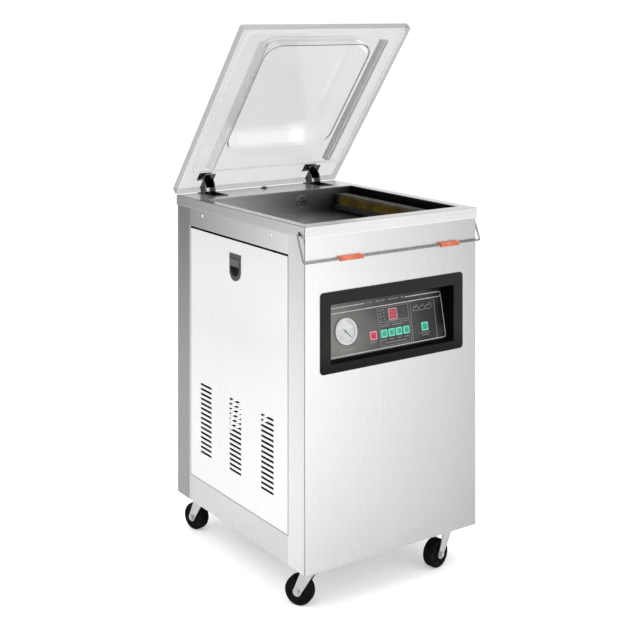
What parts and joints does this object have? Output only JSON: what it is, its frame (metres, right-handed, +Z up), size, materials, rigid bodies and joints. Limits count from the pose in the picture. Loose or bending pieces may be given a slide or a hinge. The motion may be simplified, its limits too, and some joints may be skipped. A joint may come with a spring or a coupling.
{
  "type": "chamber vacuum packing machine",
  "caption": "Floor-standing stainless chamber vacuum packer on casters with a hinged clear domed lid, twin seal bars, recessed control panel and side service door.",
  "frame": {"origin": "on the floor under the middle of the overall outline with the lid open, midway between the sides, 4.4 mm behind the cabinet's centre", "axes": "+X to the machine's right seen from the front, +Y to the back, +Z up; the front faces -Y"},
  "size_m": [0.511, 0.6168, 1.2905],
  "materials": {
    "stainless": "brushed",
    "black_plastic": "satin",
    "panel_foil": "satin",
    "display": "gloss",
    "dial_white": "matte",
    "clear_glass": "clear",
    "board_green": "satin",
    "button_red": "satin",
    "button_green": "satin",
    "grey_plastic": "satin",
    "acrylic": "clear, polished",
    "silicone": "matte",
    "chrome": "polished",
    "zinc": "zinc plated",
    "spring_steel": "black oxide",
    "hose": "satin",
    "aluminium": "satin",
    "tape": "woven, coated",
    "cast_grey": "painted",
    "motor_blue": "semi-gloss",
    "brass": "satin",
    "iron": "lacquered",
    "wheel_rubber": "matte",
    "grip_orange": "satin"
  },
  "bodies": {
    "cabinet": {"base_frame": "zinc", "front_panel": "stainless", "left_side_frame": "stainless", "right_side_panel": "stainless", "rear_cover": "stainless", "top_cover": "stainless", "chamber_tub": "stainless", "control_bezel": "black_plastic", "control_panel": "panel_foil", "display_window": "display", "gauge_case": "dial_white", "gauge_dial": "dial_white", "gauge_lens": "clear_glass", "circuit_board": "board_green", "hinge_brackets": "zinc", "hinge_pins": "chrome", "hinge_springs": "spring_steel", "hinge_slot_frames": "black_plastic", "port_strainer": "stainless", "vacuum_hose": "hose", "lift_cylinders": "aluminium", "pump_housing": "cast_grey", "pump_motor": "motor_blue", "fan_cowl": "motor_blue", "solenoid_valves": "brass", "transformer": "iron", "power_inlet": "black_plastic", "caster_plates": "zinc", "panel_screws": "chrome"},
    "lid": {"lid_plate": "acrylic", "lid_gasket": "silicone", "pressure_strips": "silicone", "hinge_arms": "chrome", "lid_clamps": "chrome"},
    "door": {"side_door": "stainless", "latch_housing": "black_plastic"},
    "latch": {"latch_paddle": "grey_plastic"},
    "bail": {"bail_wire": "chrome", "bail_grips": "grip_orange"},
    "bar_left": {"seal_bar_left": "aluminium", "seal_tape_left": "tape"},
    "bar_right": {"seal_bar_right": "aluminium", "seal_tape_right": "tape"},
    "plunger": {"lid_plunger": "black_plastic"},
    "needle": {"gauge_needle": "black_plastic"},
    "fan": {"motor_fan": "black_plastic"},
    "stop_key": {"stop_button": "button_red"},
    "start_key": {"start_button": "button_green"},
    "key_1": {"set_button_1": "button_green"},
    "key_2": {"set_button_2": "button_green"},
    "key_3": {"set_button_3": "button_green"},
    "key_4": {"set_button_4": "button_green"},
    "fork_fl": {"caster_fork_fl": "zinc"},
    "wheel_fl": {"caster_wheel_fl": "wheel_rubber"},
    "fork_fr": {"caster_fork_fr": "zinc"},
    "wheel_fr": {"caster_wheel_fr": "wheel_rubber"},
    "fork_rl": {"caster_fork_rl": "zinc"},
    "wheel_rl": {"caster_wheel_rl": "wheel_rubber"},
    "fork_rr": {"caster_fork_rr": "zinc"},
    "wheel_rr": {"caster_wheel_rr": "wheel_rubber"}
  },
  "joints": [
    {"name": "lid_hinge", "type": "hinge", "parent": "cabinet", "child": "lid", "pos_m": [0, 0.27311, 0.82], "axis": [-1, 0, 0], "range_deg": [-51.5, 3], "deforming": ["hinge_springs"]},
    {"name": "bail_swing", "type": "hinge", "parent": "cabinet", "child": "bail", "pos_m": [0, -0.27689, 0.835], "axis": [-1, 0, 0], "range_deg": [0, 197]},
    {"name": "door_tilt", "type": "hinge", "parent": "cabinet", "child": "door", "pos_m": [-0.238, -0.00439, 0.171], "axis": [0, -1, 0], "range_deg": [0, 80]},
    {"name": "latch_flap", "type": "hinge", "parent": "door", "child": "latch", "pos_m": [-0.2464, 0.00111, 0.7336], "axis": [0, -1, 0], "range_deg": [0, 45]},
    {"name": "stop_press", "type": "slide", "parent": "cabinet", "child": "stop_key", "axis": [0, 0.9781, -0.2079], "range_m": [0, 0.0015]},
    {"name": "set_press_1", "type": "slide", "parent": "cabinet", "child": "key_1", "axis": [0, 0.9781, -0.2079], "range_m": [0, 0.0015]},
    {"name": "set_press_2", "type": "slide", "parent": "cabinet", "child": "key_2", "axis": [0, 0.9781, -0.2079], "range_m": [0, 0.0015]},
    {"name": "set_press_3", "type": "slide", "parent": "cabinet", "child": "key_3", "axis": [0, 0.9781, -0.2079], "range_m": [0, 0.0015]},
    {"name": "set_press_4", "type": "slide", "parent": "cabinet", "child": "key_4", "axis": [0, 0.9781, -0.2079], "range_m": [0, 0.0015]},
    {"name": "start_press", "type": "slide", "parent": "cabinet", "child": "start_key", "axis": [0, 0.9781, -0.2079], "range_m": [0, 0.0015]},
    {"name": "needle_turn", "type": "hinge", "parent": "cabinet", "child": "needle", "pos_m": [-0.114, -0.26411, 0.60101], "axis": [0, -0.9781, 0.2079], "range_deg": [0, 270]},
    {"name": "bar_lift_left", "type": "slide", "parent": "cabinet", "child": "bar_left", "axis": [0, 0, 1], "range_m": [0, 0.008]},
    {"name": "bar_lift_right", "type": "slide", "parent": "cabinet", "child": "bar_right", "axis": [0, 0, 1], "range_m": [0, 0.008]},
    {"name": "plunger_press", "type": "slide", "parent": "cabinet", "child": "plunger", "axis": [0, 0, -1], "range_m": [0, 0.0015]},
    {"name": "fan_spin", "type": "hinge", "parent": "cabinet", "child": "fan", "pos_m": [-0.18, 0.03561, 0.2], "axis": [1, 0, 0], "continuous": true},
    {"name": "swivel_fl", "type": "hinge", "parent": "cabinet", "child": "fork_fl", "pos_m": [-0.198, -0.24689, 0.06], "axis": [0, 0, 1], "continuous": true},
    {"name": "roll_fl", "type": "hinge", "parent": "fork_fl", "child": "wheel_fl", "pos_m": [-0.2114, -0.22578, 0.033], "axis": [-0.8443, -0.5358, 0], "continuous": true},
    {"name": "swivel_fr", "type": "hinge", "parent": "cabinet", "child": "fork_fr", "pos_m": [0.182, -0.24689, 0.06], "axis": [0, 0, 1], "continuous": true},
    {"name": "roll_fr", "type": "hinge", "parent": "fork_fr", "child": "wheel_fr", "pos_m": [0.15755, -0.25209, 0.033], "axis": [0.2079, -0.9781, 0], "continuous": true},
    {"name": "swivel_rl", "type": "hinge", "parent": "cabinet", "child": "fork_rl", "pos_m": [-0.198, 0.23811, 0.06], "axis": [0, 0, 1], "continuous": true},
    {"name": "roll_rl", "type": "hinge", "parent": "fork_rl", "child": "wheel_rl", "pos_m": [-0.20447, 0.26226, 0.033], "axis": [-0.9659, -0.2588, 0], "continuous": true},
    {"name": "swivel_rr", "type": "hinge", "parent": "cabinet", "child": "fork_rr", "pos_m": [0.182, 0.23811, 0.06], "axis": [0, 0, 1], "continuous": true},
    {"name": "roll_rr", "type": "hinge", "parent": "fork_rr", "child": "wheel_rr", "pos_m": [0.16661, 0.25781, 0.033], "axis": [-0.788, -0.6157, 0], "continuous": true}
  ]
}
